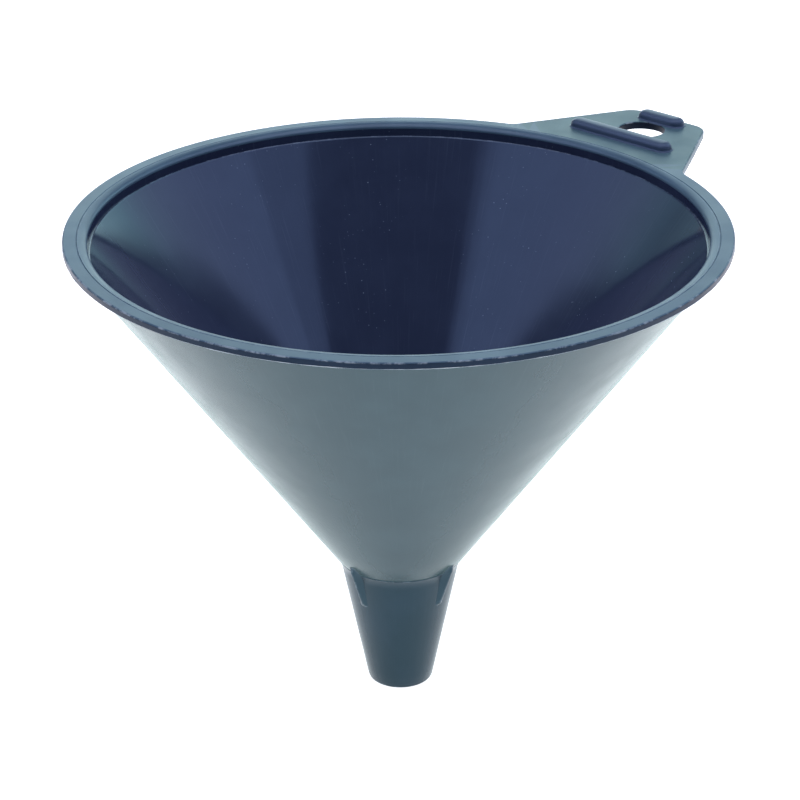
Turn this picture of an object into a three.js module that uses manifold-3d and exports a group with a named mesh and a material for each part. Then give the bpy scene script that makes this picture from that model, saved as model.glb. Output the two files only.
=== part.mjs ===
// A moulded plastic pint funnel with a hanging tab.
// Millimetres, +Z up. The origin is on the funnel's axis at the tip of the spout,
// and +X points from the axis to the hanging tab.

import * as THREE from 'three';
import { mergeVertices } from 'three/addons/utils/BufferGeometryUtils.js';
import Module from 'manifold-3d';

const wasm = await Module();
wasm.setup();

// Overall sizes
const RIM_RADIUS = 76.2;
const RIM_HEIGHT = 118.5;

// Rim
const FLANGE_THICKNESS = 1.6;
const FLANGE_FLAT_WIDTH = 3.2;
const FLANGE_OVERHANG = 2.3;
const LIP_ROUND_WIDTH = 2.35;
const LIP_ROUND_DROP = 1.3;
const LIP_DEPTH = 3.05;
const LIP_LEDGE_WIDTH = 0.3;

// Bowl
const BOWL_WALL = 2.2;

// Spout
const SPOUT_LENGTH = 31.1;
const SPOUT_TOP_RADIUS = 14.1;
const SPOUT_TIP_RADIUS = 7.8;
const SPOUT_WALL = 1.7;
const SHOULDER_HEIGHT = 3;
const SHOULDER_WIDTH = 1.3;

// Vent ribs
const VENT_RIB_COUNT = 4;
const VENT_RIB_REACH = 1.6;
const VENT_RIB_THICKNESS = 1.5;
const VENT_RIB_DROP = 10.2;
const VENT_RIB_TOE = 0.6;
const VENT_RIB_UPRIGHT = 1.2;

// Hanging tab
const TAB_THICKNESS = 2;
const TAB_REACH = 25.3;
const TAB_END_WIDTH = 22.6;
const TAB_ROOT_WIDTH = 53.4;
const TAB_CORNER_RADIUS = 5;
const TAB_ROOT_FILLET = 5;
const HOLE_RADIUS = 5.8;
const HOLE_OFFSET = 13.7;

// Ribs on the tab
const TAB_RIB_WIDTH = 4.4;
const TAB_RIB_HEIGHT = 2;
const TAB_RIB_EDGE_RADIUS = 1.2;
const LONG_RIB_LENGTH = 30.6;
const LONG_RIB_OFFSET = 5.2;
const SHORT_RIB_LENGTH = 13.2;
const SHORT_RIB_INSET = 3.5;

// The gap left between a vent rib and the wall that it is cut to
const CUT_CLEARANCE = 0.3;

// Smoothness
const TURN_SEGMENTS = 96;
const ARC_SEGMENTS = 8;
const LIP_SEGMENTS = 6;
const EDGE_SEGMENTS = 4;
const HOLE_SEGMENTS = 48;

// Heights and radii that follow from the sizes above
const CREASE_HEIGHT = SPOUT_LENGTH + SHOULDER_HEIGHT;
const FLANGE_UNDERSIDE = RIM_HEIGHT - FLANGE_THICKNESS;
const LEDGE_HEIGHT = RIM_HEIGHT - LIP_DEPTH;
const COLLAR_RADIUS = RIM_RADIUS - FLANGE_FLAT_WIDTH;
const BOWL_BOTTOM_RADIUS = SPOUT_TOP_RADIUS + SHOULDER_WIDTH;
const BOWL_TOP_RADIUS = RIM_RADIUS - FLANGE_OVERHANG;
const BOWL_RISE = FLANGE_UNDERSIDE - CREASE_HEIGHT;
const BOWL_RUN = BOWL_TOP_RADIUS - BOWL_BOTTOM_RADIUS;
const BOWL_SLOPE = BOWL_RUN / BOWL_RISE;
const BOWL_LEVEL_WALL = BOWL_WALL * Math.hypot(1, BOWL_SLOPE);
const LEDGE_RADIUS = bowlOuterRadius(LEDGE_HEIGHT) - BOWL_LEVEL_WALL;
const THROAT_RADIUS = BOWL_BOTTOM_RADIUS - BOWL_LEVEL_WALL;
const BORE_TOP_RADIUS = SPOUT_TOP_RADIUS - SPOUT_WALL;
const BORE_TIP_RADIUS = SPOUT_TIP_RADIUS - SPOUT_WALL;
const TAB_END = RIM_RADIUS + TAB_REACH;

function bowlOuterRadius(height) {
  return BOWL_BOTTOM_RADIUS + BOWL_SLOPE * (height - CREASE_HEIGHT);
}

function spoutOuterRadius(height) {
  return SPOUT_TIP_RADIUS + (SPOUT_TOP_RADIUS - SPOUT_TIP_RADIUS) * height / SPOUT_LENGTH;
}

// Materials

function slatePlastic(color, roughness) {
  return new THREE.MeshStandardMaterial({ color, roughness, metalness: 0 });
}

const outerWallFinish = slatePlastic('#5f727c', 0.35);
const rimFinish = slatePlastic('#738a98', 0.4);
const tabRibFinish = slatePlastic('#46536f', 0.35);
const spoutFinish = slatePlastic('#3b4a5b', 0.35);

// Solids

// Turns a closed [radius, height] outline, listed anticlockwise, about the Z axis.
function turned(outline) {
  const points = [...outline, outline[0]].map(([radius, height]) => new THREE.Vector2(radius, height));
  const geometry = new THREE.LatheGeometry(points, TURN_SEGMENTS);
  geometry.rotateX(Math.PI / 2);
  return geometry;
}

function extruded(shape, bottom, depth, options = {}) {
  const settings = { depth, bevelEnabled: false, curveSegments: ARC_SEGMENTS, ...options };
  const geometry = new THREE.ExtrudeGeometry(shape, settings);
  geometry.translate(0, 0, bottom);
  return geometry;
}

function toSolid(geometry) {
  const bare = geometry.clone();
  bare.deleteAttribute('normal');
  bare.deleteAttribute('uv');
  const merged = mergeVertices(bare);
  return new wasm.Manifold(new wasm.Mesh({
    numProp: 3,
    vertProperties: merged.attributes.position.array,
    triVerts: new Uint32Array(merged.index.array),
  }));
}

function toGeometry(solid) {
  const mesh = solid.getMesh();
  const geometry = new THREE.BufferGeometry();
  geometry.setAttribute('position', new THREE.BufferAttribute(mesh.vertProperties, 3));
  geometry.setIndex(new THREE.BufferAttribute(mesh.triVerts, 1));
  geometry.computeVertexNormals();
  return geometry;
}

function arcPoints(centre, radius, startAngle, endAngle, segments) {
  const points = [];
  for (let step = 0; step <= segments; step += 1) {
    const angle = startAngle + (endAngle - startAngle) * step / segments;
    const offset = new THREE.Vector2(Math.cos(angle), Math.sin(angle)).multiplyScalar(radius);
    points.push(offset.add(centre));
  }
  return points;
}

function namedMesh(name, geometry, material) {
  const mesh = new THREE.Mesh(geometry, material);
  mesh.name = name;
  return mesh;
}

// Bowl and rim

function makeBowl() {
  return turned([
    [THROAT_RADIUS, CREASE_HEIGHT],
    [BOWL_BOTTOM_RADIUS, CREASE_HEIGHT],
    [bowlOuterRadius(LEDGE_HEIGHT), LEDGE_HEIGHT],
    [LEDGE_RADIUS + LIP_LEDGE_WIDTH, LEDGE_HEIGHT],
    [LEDGE_RADIUS, LEDGE_HEIGHT],
  ]);
}

// A quarter of an ellipse from the foot of the rounding up to the flat.
function lipRounding() {
  const footRadius = COLLAR_RADIUS - LIP_ROUND_WIDTH;
  const points = [];
  for (let step = 0; step <= LIP_SEGMENTS; step += 1) {
    const angle = Math.PI / 2 * step / LIP_SEGMENTS;
    const radius = footRadius + LIP_ROUND_WIDTH * (1 - Math.cos(angle));
    const height = RIM_HEIGHT - LIP_ROUND_DROP * (1 - Math.sin(angle));
    points.push([radius, height]);
  }
  return points;
}

function makeRimCollar() {
  return turned([
    [LEDGE_RADIUS + LIP_LEDGE_WIDTH, LEDGE_HEIGHT],
    [bowlOuterRadius(LEDGE_HEIGHT), LEDGE_HEIGHT],
    [BOWL_TOP_RADIUS, FLANGE_UNDERSIDE],
    [COLLAR_RADIUS, FLANGE_UNDERSIDE],
    ...lipRounding().reverse(),
  ]);
}

function makeRimFlange() {
  return turned([
    [COLLAR_RADIUS, FLANGE_UNDERSIDE],
    [BOWL_TOP_RADIUS, FLANGE_UNDERSIDE],
    [RIM_RADIUS, FLANGE_UNDERSIDE],
    [RIM_RADIUS, RIM_HEIGHT],
    [COLLAR_RADIUS, RIM_HEIGHT],
  ]);
}

// Spout

function makeSpoutShoulder() {
  return turned([
    [BORE_TOP_RADIUS, SPOUT_LENGTH],
    [SPOUT_TOP_RADIUS, SPOUT_LENGTH],
    [BOWL_BOTTOM_RADIUS, CREASE_HEIGHT],
    [THROAT_RADIUS, CREASE_HEIGHT],
  ]);
}

function makeSpout() {
  return turned([
    [BORE_TIP_RADIUS, 0],
    [SPOUT_TIP_RADIUS, 0],
    [SPOUT_TOP_RADIUS, SPOUT_LENGTH],
    [BORE_TOP_RADIUS, SPOUT_LENGTH],
  ]);
}

// A fin in the plane through the axis: its inner edge follows the spout, the shoulder and the
// underside of the bowl, and its outer edge leans in to meet the spout at the toe.
function makeVentRib() {
  const toeHeight = CREASE_HEIGHT - VENT_RIB_DROP;
  const toeRadius = spoutOuterRadius(toeHeight) + CUT_CLEARANCE;
  const tipRadius = BOWL_BOTTOM_RADIUS + VENT_RIB_REACH;
  const bowlClearance = CUT_CLEARANCE * Math.hypot(1, BOWL_SLOPE);
  const topHeight = CREASE_HEIGHT + (VENT_RIB_REACH - bowlClearance) / BOWL_SLOPE;
  const outline = [
    [toeRadius, toeHeight],
    [toeRadius + VENT_RIB_TOE, toeHeight],
    [tipRadius, topHeight - VENT_RIB_UPRIGHT],
    [tipRadius, topHeight],
    [BOWL_BOTTOM_RADIUS + bowlClearance, CREASE_HEIGHT],
    [SPOUT_TOP_RADIUS + CUT_CLEARANCE, SPOUT_LENGTH],
  ];
  const shape = new THREE.Shape(outline.map(([radius, height]) => new THREE.Vector2(radius, height)));
  const geometry = extruded(shape, -VENT_RIB_THICKNESS / 2, VENT_RIB_THICKNESS);
  geometry.rotateX(Math.PI / 2);
  return geometry;
}

// Hanging tab

// The centre of the hollow fillet between the tab's straight side and the rim.
function rootFillet(rootCorner, sideDirection, sideNormal) {
  const base = rootCorner.clone().addScaledVector(sideNormal, TAB_ROOT_FILLET);
  const along = base.dot(sideDirection);
  const reach = RIM_RADIUS + TAB_ROOT_FILLET;
  const travel = -along + Math.sqrt(along * along - base.lengthSq() + reach * reach);
  return base.addScaledVector(sideDirection, travel);
}

// One side of the tab's outline, on +Y, from the rim to the far edge.
function tabSidePoints() {
  const rootHalf = TAB_ROOT_WIDTH / 2;
  const endCorner = new THREE.Vector2(TAB_END, TAB_END_WIDTH / 2);
  const rootCorner = new THREE.Vector2(Math.sqrt(RIM_RADIUS ** 2 - rootHalf ** 2), rootHalf);
  const side = endCorner.clone().sub(rootCorner).normalize();
  const normal = new THREE.Vector2(-side.y, side.x);
  const normalAngle = normal.angle();

  const filletCentre = rootFillet(rootCorner, side, normal);
  const rimAngle = filletCentre.angle();
  const filletStart = rimAngle + Math.PI;
  const filletEnd = normalAngle + Math.PI;
  const fillet = arcPoints(filletCentre, TAB_ROOT_FILLET, filletStart, filletEnd, ARC_SEGMENTS);

  const cornerInset = TAB_CORNER_RADIUS * Math.tan(normalAngle / 2);
  const tangent = endCorner.clone().addScaledVector(side, -cornerInset);
  const cornerCentre = tangent.addScaledVector(normal, -TAB_CORNER_RADIUS);
  const corner = arcPoints(cornerCentre, TAB_CORNER_RADIUS, normalAngle, 0, ARC_SEGMENTS);
  return { points: [...fillet, ...corner], rimAngle };
}

// The flange's outer corners between the tab's two roots, so that the tab seats against it.
function rimSeatPoints(rimAngle) {
  const pitch = 2 * Math.PI / TURN_SEGMENTS;
  const last = Math.floor(rimAngle / pitch);
  return arcPoints(new THREE.Vector2(), RIM_RADIUS, -last * pitch, last * pitch, 2 * last);
}

function makeHangTab() {
  const { points, rimAngle } = tabSidePoints();
  const mirrored = points.map((point) => new THREE.Vector2(point.x, -point.y)).reverse();
  const seat = rimSeatPoints(rimAngle);
  const shape = new THREE.Shape([...seat, ...points, ...mirrored].reverse());
  const hole = new THREE.Path(arcPoints(holeCentre(), HOLE_RADIUS, 0, -2 * Math.PI, HOLE_SEGMENTS).slice(1));
  shape.holes.push(hole);
  return extruded(shape, RIM_HEIGHT - TAB_THICKNESS, TAB_THICKNESS);
}

function holeCentre() {
  return new THREE.Vector2(RIM_RADIUS + HOLE_OFFSET, 0);
}

function roundEndedShape(centreX, length, width) {
  const radius = width / 2;
  const straight = length / 2 - radius;
  const farEnd = arcPoints(new THREE.Vector2(centreX, straight), radius, 0, Math.PI, ARC_SEGMENTS);
  const nearEnd = arcPoints(new THREE.Vector2(centreX, -straight), radius, Math.PI, 2 * Math.PI, ARC_SEGMENTS);
  return new THREE.Shape([...farEnd, ...nearEnd]);
}

// A round-ended bar with rounded edges, centred on the tab's top face and cut off flat there.
function makeTabRib(centreX, length) {
  const shape = roundEndedShape(centreX, length, TAB_RIB_WIDTH);
  const bottom = RIM_HEIGHT - TAB_RIB_HEIGHT + TAB_RIB_EDGE_RADIUS;
  const depth = 2 * (TAB_RIB_HEIGHT - TAB_RIB_EDGE_RADIUS);
  const bar = extruded(shape, bottom, depth, {
    bevelEnabled: true,
    bevelThickness: TAB_RIB_EDGE_RADIUS,
    bevelSize: TAB_RIB_EDGE_RADIUS,
    bevelOffset: -TAB_RIB_EDGE_RADIUS,
    bevelSegments: EDGE_SEGMENTS,
  });
  const above = new THREE.BoxGeometry(2 * TAB_RIB_WIDTH, 2 * length, 2 * TAB_RIB_HEIGHT);
  above.translate(centreX, 0, RIM_HEIGHT + TAB_RIB_HEIGHT);
  return toGeometry(toSolid(bar).intersect(toSolid(above)));
}

// Assembly

function makeVentRibs() {
  const ribs = new THREE.Group();
  const ribGeometry = makeVentRib();
  for (let number = 1; number <= VENT_RIB_COUNT; number += 1) {
    const rib = namedMesh(`vent_rib_${number}`, ribGeometry, spoutFinish);
    rib.rotation.z = 2 * Math.PI * (number - 1) / VENT_RIB_COUNT;
    ribs.add(rib);
  }
  return ribs;
}

function makeTabRibs() {
  const ribs = new THREE.Group();
  const longRib = makeTabRib(RIM_RADIUS + LONG_RIB_OFFSET, LONG_RIB_LENGTH);
  const shortRib = makeTabRib(TAB_END - SHORT_RIB_INSET, SHORT_RIB_LENGTH);
  ribs.add(namedMesh('tab_rib_long', longRib, tabRibFinish));
  ribs.add(namedMesh('tab_rib_short', shortRib, tabRibFinish));
  return ribs;
}

function makeFunnel() {
  const funnel = new THREE.Group();
  funnel.name = 'funnel';
  funnel.add(namedMesh('bowl', makeBowl(), outerWallFinish));
  funnel.add(namedMesh('rim_collar', makeRimCollar(), rimFinish));
  funnel.add(namedMesh('rim_flange', makeRimFlange(), rimFinish));
  funnel.add(namedMesh('hang_tab', makeHangTab(), rimFinish));
  funnel.add(makeTabRibs());
  funnel.add(namedMesh('spout_shoulder', makeSpoutShoulder(), spoutFinish));
  funnel.add(namedMesh('spout', makeSpout(), spoutFinish));
  funnel.add(makeVentRibs());
  return funnel;
}

export default makeFunnel();
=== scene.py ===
"""A moulded plastic funnel with a hanging tab: its looks, its light and its camera."""

import logging
import math
from dataclasses import dataclass
from enum import IntEnum

import bmesh
import bpy
from mathutils import Matrix, Vector
from mathutils.geometry import delaunay_2d_cdt


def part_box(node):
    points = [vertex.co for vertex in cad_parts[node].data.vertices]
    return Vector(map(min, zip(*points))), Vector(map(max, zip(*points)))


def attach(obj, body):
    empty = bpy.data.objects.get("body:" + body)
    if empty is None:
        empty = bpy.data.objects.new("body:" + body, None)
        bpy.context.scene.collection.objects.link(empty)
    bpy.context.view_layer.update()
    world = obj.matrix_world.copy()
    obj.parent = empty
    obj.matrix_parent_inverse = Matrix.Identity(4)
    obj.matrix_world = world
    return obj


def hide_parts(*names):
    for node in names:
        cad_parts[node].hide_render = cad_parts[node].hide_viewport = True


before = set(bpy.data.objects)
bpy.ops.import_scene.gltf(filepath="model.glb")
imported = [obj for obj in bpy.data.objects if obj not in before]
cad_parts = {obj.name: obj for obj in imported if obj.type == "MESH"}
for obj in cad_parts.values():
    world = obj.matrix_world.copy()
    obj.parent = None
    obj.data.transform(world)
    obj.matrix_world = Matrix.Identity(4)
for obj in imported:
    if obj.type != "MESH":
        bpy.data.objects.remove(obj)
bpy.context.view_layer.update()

LOG = logging.getLogger("funnel")
MM = 0.001
# Point mask for the pale edge mix: wear on knocked edges, and painted highlights on edges that catch
# the light.
WEAR_AND_HIGHLIGHT = "edge_wear_and_highlight"


def srgb(code: str) -> tuple[float, float, float, float]:
    """Turns a sRGB hex colour into linear light.

    Args:
        code: six hex digits after a hash.

    Returns:
        Linear red, green, blue and an alpha of one.
    """
    parts = [int(code[i:i + 2], 16) / 255 for i in (1, 3, 5)]
    linear = [p / 12.92 if p <= 0.04045 else ((p + 0.055) / 1.055) ** 2.4 for p in parts]
    return (*linear, 1.0)


def add_node(tree: bpy.types.NodeTree, kind: str, inputs: dict | None = None,
             **settings: object) -> bpy.types.Node:
    """Adds one node with its settings, and fills or links its inputs.

    Args:
        tree: the node tree that gets the node.
        kind: the node's type name.
        inputs: a value or an output socket for each input, by name or number.
        **settings: the node's own properties.

    Returns:
        The new node.
    """
    node = tree.nodes.new(kind)
    for name, value in settings.items():
        setattr(node, name, value)
    for key, value in (inputs or {}).items():
        socket = node.inputs[key]
        if isinstance(value, bpy.types.NodeSocket):
            tree.links.new(value, socket)
        else:
            socket.default_value = value
    return node


def blank_tree(owner: bpy.types.Material | bpy.types.World) -> bpy.types.NodeTree:
    """Gives a material or a world an empty node tree.

    Args:
        owner: the material or the world.

    Returns:
        Its tree.
    """
    owner.use_nodes = True
    owner.node_tree.nodes.clear()
    return owner.node_tree


def maths(tree: bpy.types.NodeTree, operation: str, *values: object) -> bpy.types.NodeSocket:
    """Adds a maths node.

    Args:
        tree: the node tree.
        operation: the operation's name.
        *values: numbers or sockets, in order.

    Returns:
        The result's socket.
    """
    node = add_node(tree, "ShaderNodeMath", dict(enumerate(values)), operation=operation)
    return node.outputs[0]


def ramp(tree: bpy.types.NodeTree, value: bpy.types.NodeSocket, low: float, high: float,
         start: float = 0.0, end: float = 1.0) -> bpy.types.NodeSocket:
    """Maps a value smoothly from one span to another.

    Args:
        tree: the node tree.
        value: the socket that is mapped.
        low: the value that gives start.
        high: the value that gives end.
        start: the result at low.
        end: the result at high.

    Returns:
        The mapped socket.
    """
    span = {"Value": value, "From Min": low, "From Max": high, "To Min": start, "To Max": end}
    return add_node(tree, "ShaderNodeMapRange", span, interpolation_type="SMOOTHSTEP").outputs[0]


def noise(tree: bpy.types.NodeTree, vector: bpy.types.NodeSocket, size: float,
          detail: float = 2.0, roughness: float = 0.5) -> bpy.types.NodeSocket:
    """Adds a noise pattern.

    Args:
        tree: the node tree.
        vector: the coordinates.
        size: the size of one patch, in the coordinates' unit.
        detail: the number of finer layers.
        roughness: how strong the finer layers are.

    Returns:
        The noise value's socket, about a half on average.
    """
    inputs = {"Vector": vector, "Scale": 1 / size, "Detail": detail, "Roughness": roughness}
    return add_node(tree, "ShaderNodeTexNoise", inputs).outputs[0]


def blend_colour(tree: bpy.types.NodeTree, factor: object, first: object,
                 second: object) -> bpy.types.NodeSocket:
    """Mixes two colours.

    Args:
        tree: the node tree.
        factor: how much of the second colour.
        first: a colour or a socket.
        second: a colour or a socket.

    Returns:
        The mixed colour's socket.
    """
    node = add_node(tree, "ShaderNodeMix", {"Factor": factor, 6: first, 7: second},
                    data_type="RGBA")
    return node.outputs[2]


# Finishes


@dataclass(frozen=True)
class MouldedPlastic:
    """An injection-moulded polyethylene surface in dark slate.

    Polyethylene off a polished steel mould is smooth but a little waxy: soft-edged reflections, a
    faint flow grain that runs the way the melt ran, and pale bruises where it is knocked or scraped.
    The same pale mix also paints highlights along edges that catch the light.
    """

    name: str
    base: str
    mottle: str
    # Pale colour of specks, streaks, wear and painted edge highlights.
    pale_wear_and_highlight: str = "#8fa0ab"
    roughness: float = 0.2
    roughness_swing: float = 0.035
    grain_size: float = 0.5 * MM
    grain_depth: float = 0.004 * MM
    wave_depth: float = 0.02 * MM
    streaks: float = 0.0
    specks: float = 0.0
    nicks: float = 0.0
    sheen: float = 0.0
    bloom: str = "#b8fcda"
    bloom_roughness: float = 0.25
    nick: str = "#1c2430"
    tint: str = "#ffffff"
    ior: float = 1.51
    mottle_size: float = 14 * MM
    gloss_size: float = 9 * MM
    wear_and_highlight_patch: float = 3 * MM
    wear_and_highlight_roughness: float = 0.2
    streak_width: float = 0.009
    streak_length: float = 16 * MM
    speck_spacing: float = 1.2 * MM
    drift_width: float = 0.3
    drift_length: float = 25 * MM
    nick_width: float = 0.011
    nick_length: float = 6 * MM
    wave_width: float = 0.12
    wave_length: float = 60 * MM

    def build(self) -> bpy.types.Material:
        """Makes the material.

        Returns:
            The material with its whole node tree.
        """
        if self.name in bpy.data.materials:
            return bpy.data.materials[self.name]
        material = bpy.data.materials.new(self.name)
        tree = blank_tree(material)
        place = add_node(tree, "ShaderNodeTexCoord").outputs["Object"]
        polar = self._polar(tree, place)
        colour = self._colour(tree, place, polar)
        rough = self._roughness(tree, place)
        shader = add_node(tree, "ShaderNodeBsdfPrincipled", {
            "Base Color": colour, "Roughness": rough, "IOR": self.ior,
            "Sheen Weight": self.sheen, "Sheen Roughness": self.bloom_roughness,
            "Sheen Tint": srgb(self.bloom),
            "Specular Tint": srgb(self.tint), "Normal": self._relief(tree, place, polar)})
        add_node(tree, "ShaderNodeOutputMaterial", {"Surface": shader.outputs[0]})
        return material

    def _polar(self, tree: bpy.types.NodeTree, place: bpy.types.NodeSocket) -> bpy.types.NodeSocket:
        """Coordinates on a drum of radius one, with the height, for patterns down the wall.

        Args:
            tree: the material's tree.
            place: the object coordinates.

        Returns:
            The drum coordinates.
        """
        parts = add_node(tree, "ShaderNodeSeparateXYZ", {0: place}).outputs
        angle = maths(tree, "ARCTAN2", parts["Y"], parts["X"])
        return add_node(tree, "ShaderNodeCombineXYZ", {
            "X": maths(tree, "COSINE", angle), "Y": maths(tree, "SINE", angle),
            "Z": parts["Z"]}).outputs[0]

    def _stretched(self, tree: bpy.types.NodeTree, polar: bpy.types.NodeSocket, across: float,
                   along: float) -> bpy.types.NodeSocket:
        """Drum coordinates scaled so that a patch of a pattern gets the given size.

        Args:
            tree: the material's tree.
            polar: the drum coordinates.
            across: the patch's width in radians.
            along: its length in metres.

        Returns:
            The scaled coordinates.
        """
        scale = (1 / across, 1 / across, 1 / along)
        return add_node(tree, "ShaderNodeMapping", {"Vector": polar, "Scale": scale},
                        vector_type="POINT").outputs[0]

    def _colour(self, tree: bpy.types.NodeTree, place: bpy.types.NodeSocket,
                polar: bpy.types.NodeSocket) -> bpy.types.NodeSocket:
        """Base colour with mottling, flow streaks, specks, nicks, wear and painted edge highlights.

        Args:
            tree: the material's tree.
            place: the object coordinates.
            polar: the drum coordinates.

        Returns:
            The colour.
        """
        patches = ramp(tree, noise(tree, place, self.mottle_size, 3.0), 0.35, 0.7)
        colour = blend_colour(tree, patches, srgb(self.base), srgb(self.mottle))
        if self.streaks:
            drawn = self._stretched(tree, polar, self.streak_width, self.streak_length)
            factor = ramp(tree, noise(tree, drawn, 1.0, 4.0, 0.6), 0.55, 0.8, 0.0, self.streaks)
            colour = blend_colour(tree, factor, colour, srgb(self.pale_wear_and_highlight))
        if self.specks:
            colour = blend_colour(tree, self._specks(tree, place, polar), colour, srgb(self.pale_wear_and_highlight))
        if self.nicks:
            factor = maths(tree, "MULTIPLY", self._nicks(tree, polar), self.nicks)
            colour = blend_colour(tree, factor, colour, srgb(self.nick))
        # Mixes in the pale colour on the edge mask: wear, and painted highlights.
        return blend_colour(tree, self._wear_and_highlight(tree, place), colour, srgb(self.pale_wear_and_highlight))

    def _specks(self, tree: bpy.types.NodeTree, place: bpy.types.NodeSocket,
                polar: bpy.types.NodeSocket) -> bpy.types.NodeSocket:
        """Dust specks, drawn about 0.3 mm wide so that they show, and thicker in drifts.

        Args:
            tree: the material's tree.
            place: the object coordinates.
            polar: the drum coordinates.

        Returns:
            The specks' share of the colour.
        """
        cells = add_node(tree, "ShaderNodeTexVoronoi",
                         {"Vector": place, "Scale": 1 / self.speck_spacing, "Randomness": 1.0})
        dots = ramp(tree, cells.outputs["Distance"], 0.16, 0.06)
        wide = self._stretched(tree, polar, self.drift_width, self.drift_length)
        drift = ramp(tree, noise(tree, wide, 1.0), 0.45, 0.7)
        shade = add_node(tree, "ShaderNodeSeparateXYZ", {0: cells.outputs["Color"]}).outputs[0]
        chosen = ramp(tree, shade, 0.45, 0.95)
        amount = maths(tree, "MULTIPLY", maths(tree, "MULTIPLY", dots, drift), chosen)
        return maths(tree, "MULTIPLY", amount, self.specks)

    def _nicks(self, tree: bpy.types.NodeTree, polar: bpy.types.NodeSocket) -> bpy.types.NodeSocket:
        """A few short dark cuts across the rim."""
        drawn = self._stretched(tree, polar, self.nick_width, self.nick_length)
        return ramp(tree, noise(tree, drawn, 1.0, 1.0), 0.79, 0.84)

    def _wear_and_highlight(self, tree: bpy.types.NodeTree, place: bpy.types.NodeSocket) -> bpy.types.NodeSocket:
        """Pale edge marks broken up by noise: bruises on knocked edges, and painted highlights on lit
        edges.

        Args:
            tree: the material's tree.
            place: the object coordinates.

        Returns:
            The share of the bruises and painted highlights in the colour.
        """
        edge = add_node(tree, "ShaderNodeAttribute", attribute_name=WEAR_AND_HIGHLIGHT).outputs["Fac"]
        broken = ramp(tree, noise(tree, place, self.wear_and_highlight_patch, 4.0, 0.7), 0.45, 0.62)
        return maths(tree, "MULTIPLY", edge, broken)

    def _roughness(self, tree: bpy.types.NodeTree,
                   place: bpy.types.NodeSocket) -> bpy.types.NodeSocket:
        """Gloss that varies in slow patches, rougher on the edge mask of wear and painted highlights.

        Args:
            tree: the material's tree.
            place: the object coordinates.

        Returns:
            The roughness.
        """
        low, high = self.roughness - self.roughness_swing, self.roughness + self.roughness_swing
        patches = ramp(tree, noise(tree, place, self.gloss_size, 3.0), 0.3, 0.7, low, high)
        rubbed = maths(tree, "MULTIPLY", self._wear_and_highlight(tree, place), self.wear_and_highlight_roughness)
        return maths(tree, "ADD", patches, rubbed)

    def _relief(self, tree: bpy.types.NodeTree, place: bpy.types.NodeSocket,
                polar: bpy.types.NodeSocket) -> bpy.types.NodeSocket:
        """Fine mould grain over slow sink waves that run down the wall.

        Args:
            tree: the material's tree.
            place: the object coordinates.
            polar: the drum coordinates.

        Returns:
            The shading normal.
        """
        drawn = self._stretched(tree, polar, self.wave_width, self.wave_length)
        waves = noise(tree, drawn, 1.0, 2.0)
        slow = add_node(tree, "ShaderNodeBump", {
            "Height": waves, "Strength": 1.0, "Distance": self.wave_depth}).outputs[0]
        grain = noise(tree, place, self.grain_size, 2.0)
        fine = add_node(tree, "ShaderNodeBump", {
            "Height": grain, "Strength": 1.0, "Distance": self.grain_depth, "Normal": slow})
        return fine.outputs[0]


# One plastic of one colour: the base colours of these region finishes are set apart to paint light
# and shade. The outside's greener base colour paints the greenish light on the outer wall.
OUTSIDE = MouldedPlastic("polyethylene_outside_painted_light", "#23373f", "#273c44",
                         roughness=0.22, wave_depth=0.008 * MM, streaks=0.03,
                         sheen=0.4, tint="#9cdce2")
# Bluer base colour than the outside: painted shade inside the bowl.
INSIDE = MouldedPlastic("polyethylene_polished_inside_painted_shade", "#29334a", "#2d384f", "#8296ac",
                        roughness=0.1, roughness_swing=0.01, streaks=0.07, specks=0.75,
                        grain_depth=0.0005 * MM, tint="#b4e0ff")
# Lighter base colour: painted light on the rim's top faces.
RIM = MouldedPlastic("polyethylene_rubbed_rim_painted_light", "#3c566a", "#435e72",
                     roughness=0.34, nicks=0.5, tint="#ccecff")
# Lighter base colour: painted light on the tab's flat top.
TAB = MouldedPlastic("polyethylene_matt_tab_painted_light", "#3d5863", "#435f6b", roughness=0.38,
                     tint="#c0f0f4")
# Darker, bluer base colour than the tab: painted shade on the ribs.
TAB_RIB = MouldedPlastic("polyethylene_glossy_rib_painted_shade", "#3a4b62", "#3f5068", roughness=0.35,
                         tint="#a4c4e4")
# A little darker than the outside: painted shade on the spout.
SPOUT = MouldedPlastic("polyethylene_spout_painted_shade", "#24343c", "#283842",
                       roughness=0.23, streaks=0.03, sheen=0.16, tint="#9cd4ea")
# Lighter base colour than the spout: painted light on the fins' shaded sides.
VENT = MouldedPlastic("polyethylene_fin_painted_light", "#30424b", "#34464f", roughness=0.23,
                      tint="#9cd4ea")
# Dark base colour: painted shade on the plate's upright outer face.
EDGE = MouldedPlastic("polyethylene_edge_painted_shade", "#1e2a3a", "#232f40", roughness=0.34,
                      tint="#6a88a0")
# Darkest base colour: painted shade on the hanging hole's wall.
BORE = MouldedPlastic("polyethylene_shaded_bore", "#141b28", "#1a2230", roughness=0.45,
                      tint="#405060")
# Pale colour: the thread is real flash, drawn pale as a painted highlight line.
FLASH_HIGHLIGHT = MouldedPlastic("polyethylene_mould_flash_painted_highlight", "#b4c6cc", "#c4d4d8", roughness=0.4)


def add_finishes(piece: bpy.types.Object, *finishes: MouldedPlastic) -> None:
    """Adds a material slot for each finish.

    Args:
        piece: the object.
        *finishes: the finishes, in the order of their slots.
    """
    for finish in finishes:
        piece.data.materials.append(finish.build())


class WallFace(IntEnum):
    """The finish slots of a wall that is turned about the axis."""

    OUTER = 0
    INNER = 1


class LipFace(IntEnum):
    """The finish slots of the collar."""

    TOP = 0
    OUTER = 1
    INNER = 2


class PlateFace(IntEnum):
    """The finish slots of the rim's plate."""

    RIM = 0
    TAB = 1
    EDGE = 2
    HOLE = 3


# Mesh tools


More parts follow.
